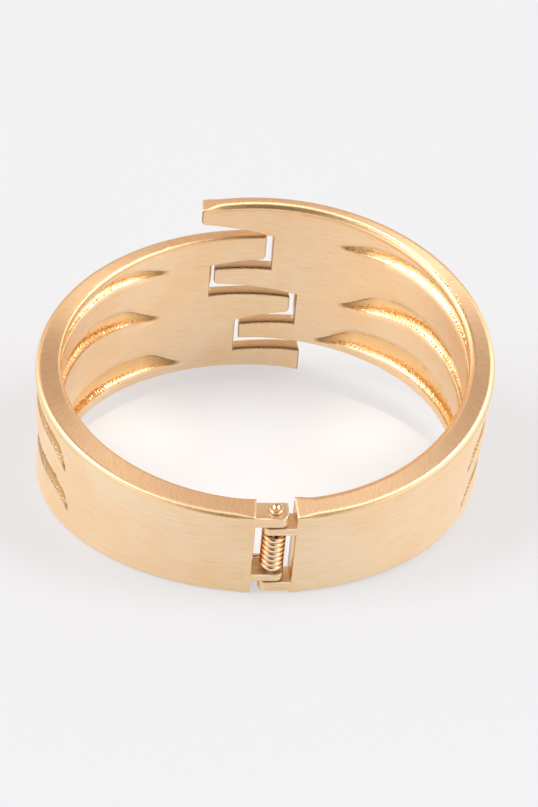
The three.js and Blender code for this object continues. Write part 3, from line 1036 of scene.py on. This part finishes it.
def hole_piece():
    bm = bmesh.new()
    bmesh.ops.create_cone(
        bm, cap_ends=True, segments=hole_sides, radius1=hole_radius, radius2=hole_radius,
        depth=2 * hinge_height,
    )
    bm.transform(settle @ Matrix.Translation((0, pin_y, 0)))
    return link_piece("hole", mesh_from(bm, "hole"))


def boolean(piece, tool, operation):
    """Joins a tool to a piece, or cuts it away, and removes the tool."""
    modifier = piece.modifiers.new(operation, "BOOLEAN")
    modifier.operation = operation
    modifier.solver = "EXACT"
    modifier.object = tool
    keep_result(piece, modifier)
    bpy.data.objects.remove(tool)


lug_layers = {"share": 0.5, "rim": 0.0, "cast": 0.0, "painted_shade": 0.0}


def lug_attributes(piece):
    """The same layers as the band's, so that a join keeps both."""
    mesh = piece.data
    for name, value in lug_layers.items():
        layer = mesh.attributes.new(name, "FLOAT", "POINT")
        layer.data.foreach_set("value", np.full(len(mesh.vertices), value, np.float32))
    polish = mesh.attributes.new("polish", "FLOAT", "POINT")
    for vertex in mesh.vertices:
        at_end = lug_reach - lug_corner < abs(vertex.co.x) < lug_reach * lug_end_share
        polish.data[vertex.index].value = 1.0 if at_end else lug_polish
    layer = mesh.uv_layers.new(name="brush")
    for loop in mesh.loops:
        x, y, z = mesh.vertices[loop.vertex_index].co / cm
        layer.data[loop.index].uv = (x, y + z)


print("lugs in mm:", {side: [round((high - low) / mm, 2) for low, high in levels]
                      for side, levels in lug_levels.items()})

# %% [markdown]
# Now both halves are made: bend the blank, join its lugs, drill the pin hole. A Weighted Normal
# modifier then lets the large flat faces decide the shading beside narrow rounded edges.

# %% The two halves
bend = oval_bend_tree()
flat_face_weight = 60
for side in ("left", "right"):
    half = link_piece(side + "_half", blanks[side])
    down, up = spreads[side]
    run_tree(half, bend, {
        "Outer Width": outer_width, "Outer Depth": outer_depth, "Rim Run": full_depth,
        "Lower Rim Drop": down, "Upper Rim Climb": up,
        "Lean": lean, "Lift": lift, "Metal": satin_gold,
    })
    for low, high in lug_levels[side]:
        lug = lug_piece(side, low, high)
        lug_attributes(lug)
        lug.data.materials.append(satin_gold)
        boolean(half, lug, "UNION")
    boolean(half, hole_piece(), "DIFFERENCE")
    for polygon in half.data.polygons:
        polygon.use_smooth = True
    weighted = half.modifiers.new("flat faces lead", "WEIGHTED_NORMAL")
    weighted.weight = flat_face_weight
    print(half.name, "has", len(half.data.polygons), "faces")
    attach(half, side)
    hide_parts(side + "_cuff_half")

# %% [markdown]
# The pin is a rivet. Its head stands on the upper lug with a dimple in the middle, where it was
# upset. A turned part is a profile spun round an axis.

# %% Pin
pin_head_radius = 0.95 * mm
pin_head_height = 0.45 * mm
head_round = 0.19 * mm
dimple_radius = 0.43 * mm
dimple_depth = 0.22 * mm
head_clearance = 0.12 * mm
pin_sides = 48


def pin_piece():
    low = -cap_top
    under = cap_top + head_clearance
    top = under + pin_head_height
    turns = np.radians(np.linspace(0, 90, 6))
    rounded = [
        (pin_head_radius - head_round * (1 - math.cos(t)), top - head_round * (1 - math.sin(t)))
        for t in turns
    ]
    dimple = [
        (dimple_radius * math.cos(t), top - dimple_depth * math.sin(t)) for t in turns
    ]
    profile = [(0, low), (pin_radius, low), (pin_radius, under), (pin_head_radius, under)]
    profile += rounded + dimple
    bm = bmesh.new()
    rings = []
    for radius, height in profile:
        if radius < 1e-9:
            rings.append([bm.verts.new((0, 0, height))])
            continue
        angles = [2 * math.pi * i / pin_sides for i in range(pin_sides)]
        rings.append([
            bm.verts.new((radius * math.cos(a), radius * math.sin(a), height)) for a in angles
        ])
    for below, above in zip(rings, rings[1:]):
        for i in range(pin_sides):
            j = (i + 1) % pin_sides
            corners = [below[i % len(below)], below[j % len(below)]]
            corners += [above[j % len(above)], above[i % len(above)]]
            bm.faces.new(list(dict.fromkeys(corners)))
    bm.transform(settle @ Matrix.Translation((0, pin_y, 0)))
    mesh = mesh_from(bm, "pin")
    for polygon in mesh.polygons:
        polygon.use_smooth = True
    mesh.materials.append(polished_gold)
    return link_piece("pin", mesh)


pin = pin_piece()
print("pin has", len(pin.data.polygons), "faces")
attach(pin, "left")
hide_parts("hinge_pin")

# %% [markdown]
# The torsion spring is wire wound round the pin between the inner lugs, with a straight leg
# that leans on each half. Its centre line follows a rule, leg, turns, leg, so a Geometry Nodes
# tree draws it on a line of points and sweeps a round section along it.

# %% Spring
spring_wire = 0.8 * mm
spring_turns = 7.0
spring_play = 0.3 * mm
spring_leg_gap = 0.35 * mm
coil_radius = hole_radius + spring_wire / 2
coil_rise = (lug_low - spring_play - spring_wire / 2) * 2
spring_leg = hinge_gap / 2 - spring_leg_gap


def spring_tree():
    tree, board, entry, end = shape_tree("wound_spring", {
        "Coil Radius": 0.001, "Rise": 0.007, "Turns": 7.0, "Leg": 0.002, "Wire": 0.001,
        "Axis Place": 0.0,
    })
    line = board.out("GeometryNodeCurvePrimitiveLine", {"End": (0, 0, 1)})
    fine = board.out("GeometryNodeResampleCurve", {"Curve": line, "Count": 420})
    factor = board.add("GeometryNodeSplineParameter").outputs["Factor"]
    turning = board.math("MULTIPLY", entry["Turns"], 2 * math.pi)
    wound = board.math("MULTIPLY", turning, entry["Coil Radius"])
    total = board.math("MULTIPLY_ADD", entry["Leg"], 2.0, wound)
    from_coil = board.math("SUBTRACT", board.math("MULTIPLY", factor, total), entry["Leg"])
    on_coil = board.math("MINIMUM", board.math("MAXIMUM", from_coil, 0.0), wound)
    leg_run = board.math("SUBTRACT", from_coil, on_coil)
    turned = board.math("DIVIDE", on_coil, entry["Coil Radius"])
    x = board.math("MULTIPLY_ADD", board.math("SINE", turned), entry["Coil Radius"], leg_run)
    cosine = board.math("COSINE", turned)
    y = board.math("MULTIPLY_ADD", cosine, entry["Coil Radius"], entry["Axis Place"])
    climbed = board.math("SUBTRACT", board.math("DIVIDE", on_coil, wound), 0.5)
    z = board.math("MULTIPLY", climbed, entry["Rise"])
    shaped = board.out("GeometryNodeSetPosition", {
        "Geometry": fine, "Position": board.join(x, y, z),
    })
    section = board.out("GeometryNodeCurvePrimitiveCircle", {
        "Resolution": 16, "Radius": board.math("MULTIPLY", entry["Wire"], 0.5),
    })
    swept = board.out("GeometryNodeCurveToMesh", {
        "Curve": shaped, "Profile Curve": section, "Fill Caps": True,
    })
    lay_and_paint(board, entry, end, swept)
    return tree


spring = link_piece("spring", bpy.data.meshes.new("spring"))
run_tree(spring, spring_tree(), {
    "Coil Radius": coil_radius, "Rise": coil_rise, "Turns": spring_turns, "Leg": spring_leg,
    "Wire": spring_wire, "Axis Place": pin_y,
    "Lean": lean, "Lift": lift, "Metal": polished_gold,
})
print("spring has", len(spring.data.polygons), "faces")
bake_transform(spring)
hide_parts("hinge_spring")

# %% [markdown]
# The setting is a pale table under large soft lights. Polished gold only shows what is round
# it, so the room matters as much as the metal. The photographed table has hardly a shadow, as a
# light table has, so this one glows a little by itself. A narrow warm lamp stands over each of
# the two bright spots inside the ring, and a wider one over the middle. Two soft boxes hang
# high at the left and the right.
#
# The room's side walls are very bright, which gives the grooves their white lips. The wall
# behind the camera is dim in its middle, which parts the glints on the spring. Beyond the
# bracelet the wall turns warm higher up, and so does the ceiling's middle, which tints the slot
# walls and the rims brown. A photographed room could do all this too, but not one reflection
# in it could then be moved by itself.

# %% Table, room and lights
table_size = 4.0
table_roughness = 0.7
table_colour = (0.31, 0.31, 0.315, 1)
table_glow = (0.5, 0.505, 0.52, 1)
side_colour = (1.35, 1.37, 1.4, 1)
near_colour = (0.86, 0.88, 0.92, 1)
middle_colour = (0.1, 0.1, 0.1, 1)
far_colour = (0.66, 0.6, 0.56, 1)
band_colour = (0.68, 0.44, 0.3, 1)
ceiling_colour = (1.0, 1.02, 1.06, 1)
overhead_colour = (0.45, 0.35, 0.28, 1)
middle_span = (0.15, 0.55)
beyond_span = (-0.1, 0.5)
band_span = (0.68, 0.76)
ceiling_span = (0.83, 0.89)
side_span = (0.58, 0.72)
light_aim = Vector((0, 0, 10 * mm))
box_aside, box_near, box_height = 0.82, -0.12, 1.08
box_size = (0.5, 0.66)
box_power = 5.5
glow_colour = (1.0, 0.94, 0.8)
glow_height = 0.7
glow_lamp_radius = 6 * mm
glow_aside, glow_beyond = 19 * mm, 10.6 * mm
glow_radius, glow_power = 11 * mm, 11.0
inner_radius, inner_power = 27 * mm, 9.0


def make_table():
    bm = bmesh.new()
    bmesh.ops.create_grid(bm, x_segments=1, y_segments=1, size=table_size / 2)
    mesh = mesh_from(bm, "table")
    if mesh.polygons[0].normal.z < 0:
        mesh.flip_normals()
    material, board, shader = new_material("table_white", {
        "Base Color": table_colour, "Roughness": table_roughness,
        "Emission Color": table_glow, "Emission Strength": 1.0,
    })
    mesh.materials.append(material)
    table = link_piece("table", mesh)


def make_room():
    world = bpy.data.worlds.new("room")
    bpy.context.scene.world = world
    world.use_nodes = True
    board = Board(world.node_tree)
    toward = board.parts(board.add("ShaderNodeTexCoord").outputs["Object"])

    def soft(value, span):
        return board.ramp(value, span, interpolation_type="SMOOTHSTEP")

    aside = soft(board.math("ABSOLUTE", toward[0]), middle_span)
    at_side = soft(board.math("ABSOLUTE", toward[0]), side_span)
    front = board.mix_colour(aside, middle_colour, near_colour)
    back = board.mix_colour(soft(toward[2], band_span), far_colour, band_colour)
    wall = board.mix_colour(soft(toward[1], beyond_span), front, back)
    ceiling = board.mix_colour(aside, overhead_colour, ceiling_colour)
    inside_room = board.mix_colour(soft(toward[2], ceiling_span), wall, ceiling)
    colour = board.mix_colour(at_side, inside_room, side_colour)
    backdrop = world.node_tree.nodes["Background"].inputs
    board.fill(backdrop["Color"], colour)
    backdrop["Strength"].default_value = 1.0


def make_light(name, kind, place, power):
    data = bpy.data.lights.new(name, kind)
    data.energy = power
    light = link_piece(name, data)
    light.location = place
    return light, data


def soft_box(name, place):
    light, data = make_light(name, "AREA", place, box_power)
    data.shape = "RECTANGLE"
    data.size, data.size_y = box_size
    light.rotation_mode = "QUATERNION"
    light.rotation_quaternion = (Vector(place) - light_aim).to_track_quat("Z", "Y")


def glow_lamp(name, spot, radius, power):
    """A narrow warm lamp straight above a spot of the table inside the ring."""
    light, data = make_light(name, "SPOT", (*spot, glow_height), power)
    data.color = glow_colour
    data.shadow_soft_size = glow_lamp_radius
    data.spot_size = 2 * math.atan(radius / glow_height)
    data.spot_blend = 1.0


make_table()
make_room()
for sign in (-1, 1):
    soft_box("side_box", (sign * box_aside, box_near, box_height))
    glow_lamp("glow_lamp", (sign * glow_aside, glow_beyond), glow_radius, glow_power)
glow_lamp("inner_lamp", (0, 0), inner_radius, inner_power)
bpy.context.scene.view_settings.view_transform = "Standard"
print("lights:", [light.name for light in bpy.data.lights])
